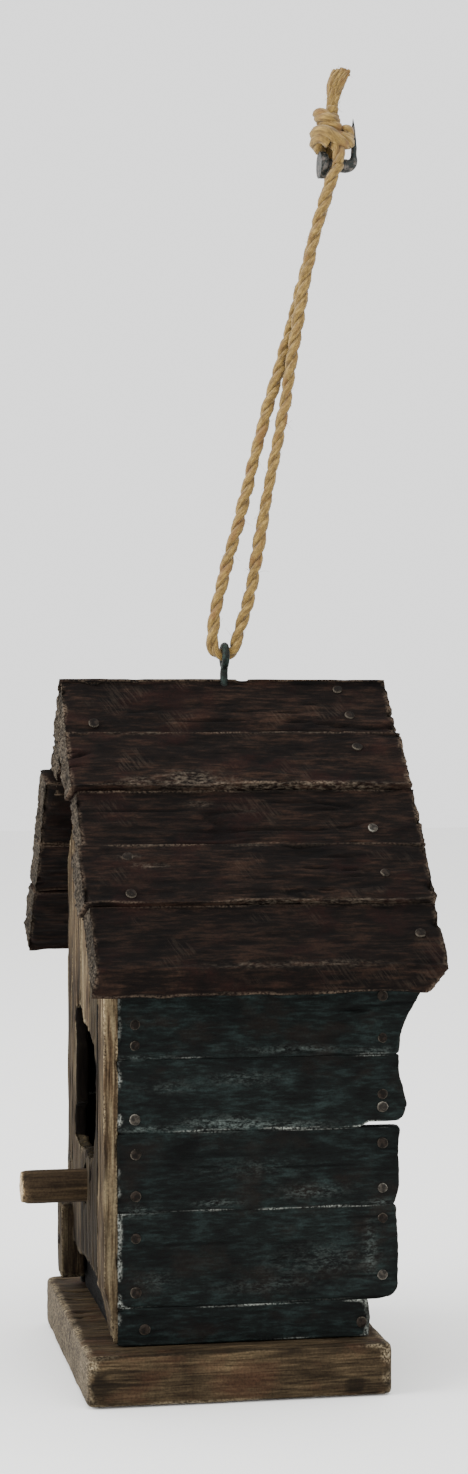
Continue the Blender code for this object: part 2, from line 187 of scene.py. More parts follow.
def add(tree, inputs, kind, out=0, stops=(), **settings):
    """A new node's output. Each input is a number, a tuple, a hex colour or another output,
    and stops are the (place, hex colour) of a ramp."""
    node = tree.nodes.new("ShaderNode" + kind)
    for key, value in settings.items():
        setattr(node, key, value)
    for key, value in inputs.items():
        if isinstance(value, bpy.types.NodeSocket):
            tree.links.new(value, node.inputs[key])
        else:
            node.inputs[key].default_value = colour(value) if isinstance(value, str) else value
    ramp = node.color_ramp.elements if stops else ()
    while len(ramp) < len(stops):
        ramp.new(1.0)
    for element, (at, tint) in zip(ramp, stops):
        element.position, element.color = at, colour(tint)
    return node.outputs[out] if node.outputs else node


def new_material(name, rough, metallic=0.0):
    """A material with one Principled shader, its node tree and the shader's inputs."""
    made = bpy.data.materials.new(name)
    made.use_nodes = True
    tree = made.node_tree
    tree.nodes.clear()
    surface = add(tree, {"Roughness": rough, "Metallic": metallic}, "BsdfPrincipled")
    add(tree, {"Surface": surface}, "OutputMaterial")
    return made, tree, surface.node.inputs


def point_marks(tree, *names):
    """Numbers kept on the mesh's points."""
    return [add(tree, {}, "Attribute", "Fac", attribute_name=name) for name in names]


def stretched(tree, size_mm, detail=3.0, rough=0.55, offset=0.0, tilt=0.0):
    """Noise in the piece's own coordinates whose lumps measure size_mm along X, Y and Z,
    turned by tilt about X."""
    place = {"Vector": add(tree, {}, "TexCoord", "Object"), "Rotation": (tilt, 0, 0),
             "Scale": tuple(s * MM for s in size_mm),
             "Location": tuple(-offset * s * MM for s in size_mm)}
    place = add(tree, place, "Mapping", vector_type="TEXTURE")
    return add(tree, {"Vector": place, "Scale": 1.0, "Detail": detail, "Roughness": rough},
               "TexNoise")


def wire_up(tree, sockets, **sources):
    """Links the tint, the roughness if it varies, and the bump of a height in metres."""
    tree.links.new(sources["tint"], sockets["Base Color"])
    if "rough" in sources:
        tree.links.new(sources["rough"], sockets["Roughness"])
    bump = add(tree, {"Strength": 1.0, "Distance": sources["depth_mm"] * MM,
                      "Height": sources["height"]}, "Bump")
    tree.links.new(bump, sockets["Normal"])


# %% [markdown]
# Jute cord is the stalk fibre of a plant, carded and spun, so it is straw coloured, matt and
# streaky along its fibres. Two plies are twisted round each other. The finish darkens the
# groove between the plies, where dirt and shadow collect, and streaks run along each ply.

# %% Jute
JUTE, tree, sockets = new_material("spun_jute", 0.92)
along, around, groove = point_marks(tree, "along", "around", "groove")
cloth = add(tree, {"X": around, "Y": along}, "CombineXYZ")
fibres = add(tree, {"Vector": cloth, "Scale": 1.0, "Detail": 4.0, "Roughness": 0.7}, "TexNoise")
base = add(tree, {"Fac": fibres}, "ValToRGB",
           stops=((0.30, "#36270c"), (0.46, "#5f4817"), (0.62, "#846a30")))
patches = add(tree, {"Value": stretched(tree, (5, 5, 7), 2.0), "From Min": 0.5,
                     "From Max": 0.68, "To Max": 0.65}, **MASK)
base = add(tree, {0: patches, 6: base, 7: "#5f3f14"}, **OVER)
dirt_and_shade_mask = add(tree, {"Value": groove, "From Min": 0.25, "From Max": 0.95, "To Max": 0.5}, **MASK)
base = add(tree, {0: dirt_and_shade_mask, 6: base, 7: "#2a1906"}, **OVER)
sockets["IOR"].default_value = 1.5
sockets["Sheen Weight"].default_value = 0.1
sockets["Sheen Roughness"].default_value = 0.6
wire_up(tree, sockets, tint=base, height=fibres, depth_mm=0.18)
print("made", JUTE.name)

# %% [markdown]
# The cord's route is the one thing of it that is given: up from the hook's bar, down and
# under the screw eye, and back. It leans, because the house hangs swung a little forward.
# The points are the same as those of the solid, smoothed with the same curve.

# %% Route of the cord loop
CORD_D = 3.3
BAR_Z, STRAND_X, STRAND_Y, LEAN = 377.7, 4.05, 41.5, 0.2
EYE_Y, EYE_Z, EYE_R, EYE_WIRE = 5.2, 220.6, 3.25, 0.95
LOOP_R = 3.9
LOOP_Z = EYE_Z + EYE_R - EYE_WIRE - 0.3 - CORD_D / 2
REAR = ((1.5, 226.2), (2.0, 232.1), (3.3, 238.5), (6.5, 251.2), (10.1, 263.9), (13.3, 276.7),
        (18.2, 295.9), (22.4, 310.0), (29.3, 334.4), (34.0, 353.7), (38.2, 367.3))
FORE = ((9.3, 226.2), (11.3, 232.2), (13.2, 238.5), (15.6, 251.3), (17.8, 264.0),
        (20.1, 276.8), (24.0, 296.0), (26.4, 310.0), (30.3, 334.4), (34.4, 353.7), (38.4, 367.3))


def smooth_route(points, per_span):
    """Points on a smooth curve through the given ones (Catmull-Rom)."""
    points = [np.asarray(p, float) for p in points]
    ends = [points[0] * 2 - points[1], *points, points[-1] * 2 - points[-2]]
    out = []
    for a, b, c, d in zip(ends, ends[1:], ends[2:], ends[3:]):
        for n in range(per_span):
            t = n / per_span
            out.append(0.5 * (2 * b + (c - a) * t + (2 * a - 5 * b + 4 * c - d) * t * t
                              + (3 * b - a - 3 * c + d) * t ** 3))
    return np.array([*out, points[-1]])


def strand(side, heights):
    """One strand as (X, Y, Z); it spreads from the eye to the bar, a little faster near the top."""
    low = heights[0][1]
    out = [side * STRAND_X * ((z - low) / (BAR_Z - low)) ** 1.5 for _, z in heights]
    return [(x, y - LEAN * x, z) for x, (y, z) in zip(out, heights)]


under_eye = [(0, EYE_Y + LOOP_R * math.sin(a), LOOP_Z + LOOP_R * (1 - math.cos(a)))
             for a in (math.radians(d) for d in (-60, -30, 0, 30, 60))]
corners = [(-STRAND_X, STRAND_Y, BAR_Z), *reversed(strand(-1, REAR)), *under_eye,
           *strand(1, FORE), (STRAND_X, STRAND_Y, BAR_Z)]
loop_line = smooth_route(corners, 2)

# %% [markdown]
# A ply is a tube whose middle winds round the cord's middle. At each step along the route
# a pair of directions square to it is carried forward without twisting, so the winding is
# even. The tube's section is ridged like a bundle of yarns, and its two plies sink into
# each other a little, which gives the cord its lumpy outline.

# %% Twisted cord
PLY_OFFSET, PLY_RADIUS = 0.225, 0.40      # shares of the cord's diameter
YARNS = 6


def spaced(line, step):
    """Points along a line at an even step."""
    lengths = np.concatenate(([0.0], np.cumsum(np.linalg.norm(np.diff(line, axis=0), axis=1))))
    at = np.linspace(0.0, lengths[-1], max(4, int(lengths[-1] / step)))
    return np.stack([np.interp(at, lengths, line[:, n]) for n in range(3)], axis=1), at


def carried(line):
    """Two directions square to the line at each point, carried along it without twist."""
    ahead = np.gradient(line, axis=0)
    ahead /= np.linalg.norm(ahead, axis=1)[:, None]
    side = np.cross(ahead[0], (0.31, 0.87, 0.12))
    sides = []
    for t in ahead:
        side = side - t * np.dot(side, t)
        side /= np.linalg.norm(side)
        sides.append(side)
    sides = np.array(sides)
    return ahead, sides, np.cross(ahead, sides)


def twisted(line, diameter, lay, plies=2, step=0.55, sides=18, seed=1, swell=None, start=0.0):
    """Points, faces and marks of a twisted cord along a line, all in millimetres."""
    line, at = spaced(np.asarray(line, float), step)
    _, u, v = carried(line)
    swell = np.ones(len(at)) if swell is None else np.interp(at / at[-1], *swell)
    points, faces, along, around, groove = [], [], [], [], []
    for ply in range(plies):
        phase = 2 * math.pi * (at / lay + ply / plies) + start
        wander = noise(np.stack([at, at * 0 + ply, at * 0], 1), (lay * 0.6, 1, 1), seed)
        offset = diameter * PLY_OFFSET * swell * (1 + 0.12 * wander)
        out = u * np.cos(phase)[:, None] + v * np.sin(phase)[:, None]
        across = -u * np.sin(phase)[:, None] + v * np.cos(phase)[:, None]
        middle = line + out * offset[:, None]
        radius = diameter * PLY_RADIUS * swell * (1 + 0.10 * np.roll(wander, 7))
        for s in range(sides):
            turn = 2 * math.pi * s / sides
            # yarns in the ply lie the other way from the plies in the cord
            ridge = 1 + 0.055 * np.sin(YARNS * turn + 2 * math.pi * at / (lay * 0.55))
            fuzz = 1 + 0.05 * noise(np.stack([at, at * 0 + 3 * s, at * 0 + ply], 1),
                                    (0.9, 1, 1), seed + 5)
            reach = radius * ridge * fuzz
            # the section is a little flat where the plies meet
            points.append(middle + out * (reach * math.cos(turn) * 0.92)[:, None]
                          + across * (reach * math.sin(turn) * 1.08)[:, None])
            along.append(at * 0.35 + ply * 40)
            around.append(np.full(len(at), 9.0 * s / sides) + at / (lay * 0.55) * 4.0)
            groove.append(np.full(len(at), 0.5 - 0.5 * math.cos(turn)) ** 1.5)
    block = len(at)
    order = np.arange(plies * sides * block).reshape(plies, sides, block)
    order = order.transpose(0, 2, 1).reshape(-1)
    points = np.concatenate(points)[order]
    for ply in range(plies):
        faces += ring_faces(block, sides, first=ply * block * sides)
    marks = {"along": np.concatenate(along)[order], "around": np.concatenate(around)[order],
             "groove": np.concatenate(groove)[order]}
    return points, faces, marks


def gathered(bundles):
    """Several lots of points, faces and marks as one."""
    points, faces, marks, first = [], [], {}, 0
    for p, f, m in bundles:
        points.append(p)
        faces += [tuple(n + first for n in face) for face in f]
        for key, values in m.items():
            marks.setdefault(key, []).append(values)
        first += len(p)
    return np.concatenate(points), faces, {k: np.concatenate(v) for k, v in marks.items()}


points, faces, marks = twisted(loop_line, CORD_D, 13.0, seed=11)
loop_cord = finished("jute_loop", house(points), faces, "cord", JUTE,
                     ["cord_loop"], marks)
print("jute_loop:", len(faces), "faces")

# %% [markdown]
# Jute sheds. Short fibres stand off the cord at all angles, each a hair that bends as it
# leaves. They are thin tubes of three sides, thicker than real fibres so that they show.

# %% Stray fibres


def fibres_on(line, reach, count, seed, long=(1.6, 4.2), thick=0.055):
    """Short bent hairs that start just inside a cord of that radius."""
    rng = np.random.default_rng(seed)
    line, at = spaced(np.asarray(line, float), 0.5)
    ahead, u, v = carried(line)
    bundles = []
    for _ in range(count):
        n = rng.integers(2, len(at) - 2)
        turn = rng.uniform(0, 2 * math.pi)
        out = u[n] * math.cos(turn) + v[n] * math.sin(turn)
        lean = ahead[n] * rng.choice((-1, 1)) * rng.uniform(0.6, 1.6)
        direction = out * rng.uniform(0.25, 0.8) + lean
        direction /= np.linalg.norm(direction)
        bend = rng.normal(0, 0.25, 3)
        length = rng.uniform(*long)
        t = np.linspace(0, 1, 6)[:, None]
        hair = line[n] + out * reach * 0.8 + direction * t * length + bend * t * t * length
        _, a, b = carried(hair)
        ring = []
        for k in range(6):
            size = thick * (1 - 0.6 * k / 5)
            ring += [hair[k] + (a[k] * math.cos(w) + b[k] * math.sin(w)) * size
                     for w in (0.0, 2.1, 4.2)]
        bundles.append((np.array(ring), ring_faces(6, 3),
                        {"along": np.full(18, 3.0 * n), "around": np.full(18, turn),
                         "groove": np.zeros(18)}))
    return gathered(bundles)


points, faces, marks = fibres_on(loop_line, CORD_D / 2, 190, seed=5)
loop_fibres = finished("jute_loop_fibres", house(points), faces, "cord", JUTE,
                       marks=marks)
print("jute_loop_fibres:", len(faces) // 17, "hairs")

# %% [markdown]
# Above the bar both strands are tied in one knot, and the two ends stand up out of it as a
# frayed tail. A knot reads as wraps that cross at different slants, so it is laid from
# short lengths of the same twisted cord: two strands that rise from the bar, a wide wrap
# that slopes down to the right, a second that slopes the other way behind it, a narrower
# collar under the tail, and short thin wraps that fill between them.

# %% Knot and frayed tail


def wrap(middle, half_y, half_x, slope, start, sweep, rise=0.0, points=26):
    """Part of a sloping turn round the knot. Angle 0 is towards +Y and 90 towards +X."""
    out = []
    for n in range(points):
        a = math.radians(start + sweep * n / (points - 1))
        y = half_y * math.cos(a)
        front = math.sin(a)
        out.append((half_x * front, middle[0] + y,
                    middle[1] - slope * y * front + rise * n / (points - 1)))
    return out


rise_front = smooth_route([(4.05, 41.5, 377.5), (4.1, 41.5, 379.4), (3.9, 41.6, 381.6),
                           (2.4, 40.3, 384.2), (0.8, 39.8, 387.5), (0.4, 39.9, 392.0),
                           (0.5, 40.4, 396.5)], 4)
rise_back = smooth_route([(-4.05, 41.5, 377.5), (-4.0, 41.1, 379.4), (-3.5, 39.6, 382.0),
                          (-2.2, 38.2, 384.6), (-0.6, 38.6, 388.0), (-0.5, 39.4, 392.0),
                          (-0.6, 40.6, 396.5)], 4)
# each wrap: middle Y and Z, half depth, half width, slope, start, sweep and rise, then its
# diameter and lay, and the share of its length over which each end thins, and to how much
WRAPS = (((40.1, 386.3), 4.75, 3.5, 0.42, 200, -250, 0.0, 4.6, 24.0, 0.1, 0.72, 0.72),
         ((40.9, 387.6), 4.3, 3.0, -0.34, 60, -235, 0.0, 4.3, 22.0, 0.1, 0.7, 0.7),
         ((38.9, 384.6), 3.6, 2.9, 0.55, 250, -160, 0.0, 3.9, 20.0, 0.1, 1, 1),
         ((38.7, 391.8), 2.5, 2.6, 0.10, 215, -330, 0.9, 3.7, 19.0, 0.1, 0.6, 0.7),
         ((37.6, 393.6), 1.9, 1.8, 0.3, 230, -190, 0.0, 3.1, 16.0, 0.2, 0.7, 0.7),
         ((43.0, 386.0), 2.6, 2.6, 0.35, 150, -215, -0.8, 4.0, 21.0, 0.2, 0.6, 0.7),
         ((39.6, 389.6), 2.3, 2.3, 0.2, 190, -200, 0.4, 3.8, 20.0, 0.2, 0.6, 0.6))
lots = [twisted(rise_front, 3.5, 13.0, seed=21), twisted(rise_back, 3.5, 13.0, seed=22, start=1.4)]
for n, (*turn, thick, lay, over, first, last) in enumerate(WRAPS):
    lots.append(twisted(wrap(*turn), thick, lay, seed=23 + n,
                        swell=((0, over, 1 - over, 1), (first, 1, 1, last))))
rng = np.random.default_rng(31)
for n in range(15):
    across, deep = (n % 5 - 2) / 2.0, (n // 5 - 1) / 1.0
    top = 408.9 - 0.9 * abs(across) + rng.uniform(-0.9, 0.3)
    yarn = smooth_route([
        (0.7 * deep, 40.2 + 0.75 * across, 394.0),
        (0.75 * deep + rng.normal(0, 0.1), 40.5 + 0.80 * across, 398.0),
        (0.9 * deep + rng.normal(0, 0.15), 41.2 + 1.35 * across, 402.0),
        (0.95 * deep + rng.normal(0, 0.2), 42.4 + 1.95 * across, 406.0),
        (1.0 * deep + rng.normal(0, 0.25), 43.5 + 2.35 * across, top)], 5)
    lots.append(twisted(yarn, 2.1, 12.0, step=0.45, sides=9, seed=40 + n, start=n,
                        swell=((0, 0.7, 1), (0.85, 1, 0.62))))
tail_middle = smooth_route([(0, 40.4, 395), (0, 40.9, 400), (0, 42.3, 405), (0, 43.4, 408.5)], 6)
lots.append(fibres_on(tail_middle, 1.9, 70, 51, long=(1.5, 3.4)))
lots.append(fibres_on(wrap(*WRAPS[0][:6]), 1.9, 36, 52, long=(1.2, 2.8)))
points, faces, marks = gathered(lots)
knot = finished("jute_knot", house(points), faces, "hook", JUTE, ["knot"], marks)
print("jute_knot:", len(faces), "faces")

# %% [markdown]
# The hook and the nails are mild steel that was left out of doors: forged black scale worn
# to a dull grey on the high spots, with brown rust in the hollows. The screw eye still has
# a trace of green-black paint, and some nail heads are rubbed bright. All are one recipe
# with different colours, whose roughness and tint follow the same blotches. Paint and rust
# aren't metal to a shader, so only the forged iron has a high metallic value.

# %% Iron finishes


def iron(name, dark, worn, rust, rough, metallic, amount=0.5, rim=None, shine=0.4):
    """A blotched metal with rust in its pits, by amount, and a paler rim, partly rubbed and partly a
    painted highlight, if one is given.
    """
    made, tree, sockets = new_material(name, rough, metallic)
    sockets["Specular IOR Level"].default_value = shine
    blotch = stretched(tree, (1.6, 1.6, 1.6), 4.0, 0.6)
    pits = stretched(tree, (0.5, 0.5, 0.5), 3.0, 0.6, offset=5.0)
    high = add(tree, {"Value": blotch, "From Min": 0.45, "From Max": 0.62}, **MASK)
    tint = add(tree, {0: high, 6: dark, 7: worn}, **OVER)
    rusted = add(tree, {"Value": pits, "From Min": 0.5, "From Max": 0.66, "To Max": amount},
                 **MASK)
    tint = add(tree, {0: rusted, 6: tint, 7: rust}, **OVER)
    # the paler rim is partly rubbing and partly a painted highlight ring
    if rim:
        rim_rub_and_highlight, = point_marks(tree, "rim")
        rubbed = add(tree, {"Value": pits, "From Min": 0.3, "From Max": 0.55,
                            "To Max": rim_rub_and_highlight}, **MASK)
        tint = add(tree, {0: rubbed, 6: tint, 7: rim}, **OVER)
    varied = add(tree, {"Value": blotch, "To Min": rough - 0.15, "To Max": rough + 0.2},
                 "MapRange")
    wire_up(tree, sockets, tint=tint, rough=varied, height=pits, depth_mm=0.12)
    return made


FORGED = iron("forged_black_iron", "#1c2221", "#5a5551", "#3e3229", 0.5, 0.6, shine=0.3)
PAINTED_EYE = iron("green_black_painted_steel", "#0a0f0d", "#182420", "#2e271e", 0.5, 0.1,
                   0.35, shine=0.12)
NAIL_STEEL = iron("rusted_nail_steel", "#0e0c0a", "#211c18", "#1c120c", 0.7, 0.05,
                  0.6, "#4d473e", 0.06)
BRIGHT_STEEL = iron("rubbed_nail_steel", "#171512", "#37332d", "#2c2119", 0.6, 0.05,
                    0.4, "#7d796f", 0.1)
print("iron finishes:", FORGED.name, PAINTED_EYE.name, NAIL_STEEL.name, BRIGHT_STEEL.name)

# %% [markdown]
# Forged bar is round with flats from the hammer. It is swept like the cord but as a single
# tube, with a radius at each point of the route and low, wide dents. The collar is turned:
# a profile spun about its axis, then knocked out of true in the same way.

# %% Hook


def swept(route, radii, sides=20, step=0.35, dent=0.05, dent_size=1.4, seed=1):
    """A tube along a route with a radius for each given point, dented as if hammered."""
    given = np.asarray(route, float)
    fine = smooth_route(given, 8)
    share = np.linspace(0, 1, len(given))
    line, at = spaced(fine, step)
    lengths = np.concatenate(([0.0], np.cumsum(np.linalg.norm(np.diff(fine, axis=0), axis=1))))
    radius = np.interp(np.interp(at, lengths, np.linspace(0, 1, len(fine))), share, radii)
    _, u, v = carried(line)
    rings = []
    for n in range(len(at)):
        for s in range(sides):
            a = 2 * math.pi * s / sides
            rings.append(line[n] + radius[n] * (u[n] * math.cos(a) + v[n] * math.sin(a)))
    rings = np.array(rings)
    centre = np.repeat(line, sides, axis=0)
    out = rings - centre
    size = np.linalg.norm(out, axis=1)[:, None]
    bumps = noise(rings, (dent_size,) * 3, seed)[:, None]
    rings = centre + out * (1 + dent * bumps * np.minimum(1, 0.6 / np.maximum(size, 0.2)) * 2)
    return rings, ring_faces(len(at), sides), {}


def turned(profile, at, along, sides=40, dent=0.05, dent_size=1.2, seed=1):
    """A profile of (radius, height) spun about an axis, with smooth corners and dents."""
    fine = smooth_route([(r, h, 0.0) for r, h in profile], 4)[:, :2]
    fine[:, 0] = np.maximum(fine[:, 0], 0.02)
    rings = np.array([(r * math.cos(a), r * math.sin(a), h) for r, h in fine
                      for a in (2 * math.pi * s / sides for s in range(sides))])
    rings = rings + noise(rings, (dent_size,) * 3, seed)[:, None] * dent * (
        rings * (1, 1, 0.3)) / np.maximum(np.linalg.norm(rings[:, :2], axis=1), 0.3)[:, None]
    turn = np.array(Vector((0, 0, 1)).rotation_difference(Vector(along)).to_matrix())
    return rings @ turn.T + np.asarray(at, float), ring_faces(len(fine), sides), {}


collar = turned([(0.05, 0.0), (3.9, 0.0), (4.2, 0.25), (4.2, 1.7), (3.6, 2.45), (2.4, 2.5),
                 (2.1, 2.5), (0.05, 2.5)], (0, 36.0, BAR_Z), (0, 1, 0), dent=0.14, seed=61)
arm = swept([(0, 37.0, BAR_Z), (0, 41.0, BAR_Z), (0, 44.6, BAR_Z), (0, 46.2, BAR_Z + 0.45),
             (0, 47.2, BAR_Z + 1.8), (0, 47.45, BAR_Z + 3.8), (0, 47.5, BAR_Z + 8.0),
             (0, 47.3, BAR_Z + 12.0), (0, 47.2, BAR_Z + 15.2)],
            (2.1, 2.1, 2.12, 2.05, 1.45, 0.95, 0.80, 0.52, 0.10), dent=0.1, seed=62)
points, faces, _ = gathered([collar, arm])
finished("forged_hook", house(points), faces, "hook", FORGED, ["hook"])
print("forged_hook:", len(faces), "faces")

# %% [markdown]
# A screw eye is one length of wire: a shank with a rolled thread, bent round into a ring
# whose end stops just short of the shank. The ring faces the front, so the camera sees it
# almost edge on.

# %% Screw eye
bend = [(0.0, EYE_Y, z) for z in (204.2, 208.0, 212.0, 215.0)]
bend += [(EYE_R * math.sin(a), EYE_Y + 0.25 * a / 6.0, EYE_Z - EYE_R * math.cos(a))
         for a in (math.radians(d) for d in range(12, 346, 18))]
SHANK_RADII, RING_RADIUS = [0.6, 0.95, 1.2, 1.25], 1.2
wire = swept(bend, SHANK_RADII + [RING_RADIUS] * (len(bend) - 4), sides=18, step=0.3,
             dent=0.06, seed=63)
thread_line = [(0.95 * math.cos(a), EYE_Y + 0.95 * math.sin(a), 204.6 + 1.1 * a / (2 * math.pi))
               for a in np.linspace(0, 2 * math.pi * 7, 120)]
thread = swept(thread_line, [0.22] * len(thread_line), sides=6, step=0.25, dent=0.0)
points, faces, _ = gathered([wire, thread])
finished("threaded_screw_eye", house(points), faces, "house", PAINTED_EYE,
         ["screw_eye"])
print("threaded_screw_eye:", len(faces), "faces")

# %% [markdown]
# The boards are old softwood, and old softwood is not a box. Its soft summer growth has
# weathered away and left ridges along the grain, it has split, its edges are rubbed round
# and chipped, and its sawn ends are a brush of broken fibres. To shape all of that, each
# solid is copied into a frame of its own, with the grain along the first axis and the
# outer face along the third, and remeshed evenly, with cells longer along the grain.

# %% Re-mesh a board in the frame of its grain
import bmesh

CELL, STRETCH = 0.62, 2.2


def remeshed(node, grain, outward):
    """Points (millimetres: along, across, out), faces and edges of a board, and its axes."""
    g, n = np.asarray(grain, float), np.asarray(outward, float)
    axes = np.stack([g, np.cross(n, g), n], axis=1)
    source = NODES[node].data
    flat = np.zeros(len(source.vertices) * 3, np.float32)
    source.vertices.foreach_get("co", flat)
    own = (flat.reshape(-1, 3).astype(float) / MM) @ axes
    own[:, 0] /= STRETCH
    mesh = bpy.data.meshes.new("board")
    mesh.from_pydata(own.tolist(), [], [tuple(f.vertices) for f in source.polygons])
    shape = bmesh.new()
    shape.from_mesh(mesh)
    bmesh.ops.remove_doubles(shape, verts=shape.verts, dist=1e-3)
    shape.to_mesh(mesh)
    shape.free()
    stand_in = bpy.data.objects.new("board", mesh)
    bpy.context.scene.collection.objects.link(stand_in)
    step = stand_in.modifiers.new("even", "REMESH")
    step.mode, step.voxel_size = "VOXEL", CELL
    even = bpy.data.meshes.new_from_object(
        stand_in.evaluated_get(bpy.context.evaluated_depsgraph_get()))
    bpy.data.objects.remove(stand_in, do_unlink=True)
    points = np.zeros(len(even.vertices) * 3, np.float32)
    even.vertices.foreach_get("co", points)
    points = points.reshape(-1, 3).astype(float)
    pairs = np.zeros(len(even.edges) * 2, np.int32)
    even.edges.foreach_get("vertices", pairs)
    faces = [tuple(f.vertices) for f in even.polygons]
    return points, faces, pairs.reshape(-1, 2), axes


# %% [markdown]
# Rubbing wear comes from smoothing. A smoothed copy of the board differs from the board
# only near its edges and corners, so moving part of the way towards it rounds them, and
# how far it had to move says how exposed each point is. That measure also drives chips
# and the pale, rubbed colour of the edges.

# %% Wear on a board
HOLE_Z, HOLE_HALF_Z, HOLE_HALF_X = 86, 29, 35
TAIL_Y = 47.0


def relaxed(points, pairs, rounds):
    """Points drawn towards the average of their neighbours, several times."""
    a, b = pairs.T
    count = np.bincount(pairs.ravel(), minlength=len(points))[:, None]
    for _ in range(rounds):
        total = np.stack([np.bincount(a, points[b, k], len(points))
                          + np.bincount(b, points[a, k], len(points)) for k in range(3)], 1)
        points = 0.5 * points + 0.5 * total / count
    return points


def normals_of(points, faces):
    """Directions square to the surface at each point."""
    quads = np.array([f if len(f) == 4 else (*f, f[-1]) for f in faces])
    square = np.cross(points[quads[:, 2]] - points[quads[:, 0]],
                      points[quads[:, 3]] - points[quads[:, 1]])
    total = np.stack([np.bincount(quads.ravel(), np.repeat(square[:, k], 4), len(points))
                      for k in range(3)], 1)
    return total / np.maximum(np.linalg.norm(total, axis=1), 1e-9)[:, None]


def scuffed(points, spots):
    """How bare a point is where the finish was rubbed: spots are (Y, height or distance from
    the ridge, half length, half width, strength), all on the outer face."""
    total = np.zeros(len(points))
    for y, level, long, wide, strength in spots:
        total += strength * np.exp(-((points[:, 0] - y) / long) ** 2
                                   - ((points[:, 1] - level) / wide) ** 2)
    return np.clip(total, 0, 1)


def weathered(node, name, grain, outward, material, look, seed, shade=0.5, shape=None,
              spots=None):
    """A worn board in place of a CAD node. look gives depths in millimetres: chip, fibre,
    torn, hollow, crack, saw and end. rub is the share of edge rounding, tight widens the board
    across the grain to close its seams, and reach lengthens its low and high ends to make up
    for what end takes off. calm is how far wear is held back at the edges, kept how far the
    rubbed colour is held back at the tail, the lower-face key how much lighter the lower edge
    face is painted, as painted light, and the hole key how dark the sides of the entrance hole
    are painted, as painted shade. shade is one number, or two for the low and the high end of
    the grain; it is each board's tone, and on the front boards painted light and shade too."""
    points, faces, pairs, axes = remeshed(node, grain, outward)
    soft = relaxed(points, pairs, 10)
    exposed = np.linalg.norm((soft - points) * (STRETCH, 1, 1), axis=1)
    q = points * (STRETCH, 1, 1) + seed * 37.7
    rub = np.clip(look["rub"] * (0.75 + 0.55 * noise(q, (14, 5, 5), seed)), 0, 1)
    middle, half = np.ptp(points, axis=0) / 2 + points.min(0), np.ptp(points, axis=0) / 2
    points = points + (soft - points) * rub[:, None]
    points[:, 1] += (points[:, 1] - middle[1]) / half[1] * look.get("tight", 0.3)
    points[:, 0] *= STRETCH
    out = normals_of(relaxed(points, pairs, 2), faces)
    edge = np.clip(exposed / 0.42, 0, 1)
    end = np.clip(np.abs(out[:, 0]) * 2.0 - 0.7, 0, 1)
    fibre = 0.65 * noise(q, (24, 0.95, 0.95), seed + 1) + 0.35 * noise(q, (9, 0.6, 0.6), seed + 2)
    hollow = noise(q, (42, 6.5, 6.5), seed + 3)
    split = noise(q, (60, 3.6, 3.6), seed + 4)
    crack = np.clip(1 - np.abs(split) / 0.055, 0, 1) * np.clip(
        noise(q, (34, 14, 14), seed + 5) * 2.4 + 0.1, 0, 1)
    chips = np.clip(noise(q, (6.5, 2.8, 2.8), seed + 6) * 1.7 - 0.55, 0, 1) * edge
    marks_of_saw = (0.5 + 0.5 * np.sin(2 * math.pi * (q[:, 0] * 0.35 + q[:, 1] * 0.30)
                                       + 1.5 * hollow)) * np.clip(
        noise(q, (20, 9, 9), seed + 7) * 2.2 - 0.1, 0, 1)
    torn = noise(q, (7, 2.3, 2.3), seed + 11)
    depth = (look["fibre"] * (0.5 - 0.5 * fibre) + look["torn"] * (0.5 - 0.5 * torn)
             + look["hollow"] * (0.5 - 0.5 * hollow) + look["crack"] * crack
             + look["chip"] * chips + look["saw"] * marks_of_saw)
    calm = look.get("calm", 0) * np.clip(exposed / 0.15, 0, 1)
    depth = depth * (1 - 0.8 * end) * (1 - 0.8 * out[:, 1] ** 2) * (1 - calm)
    points = points - out * depth[:, None]
    broken = 0.5 + 0.3 * noise(q, (90, 1.1, 1.1), seed + 8) + 0.2 * noise(q, (90, 3, 3), seed + 9)
    points[:, 0] -= np.sign(out[:, 0]) * end * look["end"] * broken
    low, high = look.get("reach", (0, 0))[::1 if sum(grain) > 0 else -1]
    share = (points[:, 0] - points[:, 0].min()) / np.ptp(points[:, 0])
    points[:, 0] += high * share ** 3 - low * (1 - share) ** 3
    if shape:
        points = shape(points, q)
    where = points @ axes.T + COLLAR_BACK
    # the sides of the entrance hole go into the depth mark, which paints them dark as painted shade
    hole_painted_shade = look.get("hole", 0) * (np.abs(out[:, 1]) > 0.3) * (
        np.abs(where[:, 2] - HOLE_Z) < HOLE_HALF_Z) * (np.abs(where[:, 0]) < HOLE_HALF_X)
    kept = 1 - look.get("kept", 0) * np.clip((where[:, 1] - TAIL_Y) / 3.0, 0, 1)
    marks = {"worn": np.clip(edge * kept * (0.75 + 0.6 * noise(q, (9, 3, 3), seed + 10)), 0, 1),
             "sawn_end": end,
             "depth": np.clip(hole_painted_shade + crack + 0.5 * chips + 0.3 * (0.5 - 0.5 * hollow)
                              + 0.35 * (0.5 - 0.5 * torn) + 0.3 * (0.5 - 0.5 * fibre)
                              + 1.6 * look["saw"] * marks_of_saw, 0, 1),
             # shade: the lower edge faces painted lighter as painted light, then each board's tone,
             # which on the front boards also holds painted light and shade
             "shade": look.get("under", 0) * np.clip(-out[:, 1], 0, 1)
             + (np.interp(points[:, 0], (points[:, 0].min(), points[:, 0].max()), shade)
                if isinstance(shade, tuple) else np.full(len(points), shade)),
             "scuff": spots(where) if spots else np.zeros(len(points))}
    return finished(name, points @ axes.T * MM, faces, "house", material, [node], marks)


print("wear ready: cells of", CELL, "mm, and", round(CELL * STRETCH, 2), "mm along the grain")
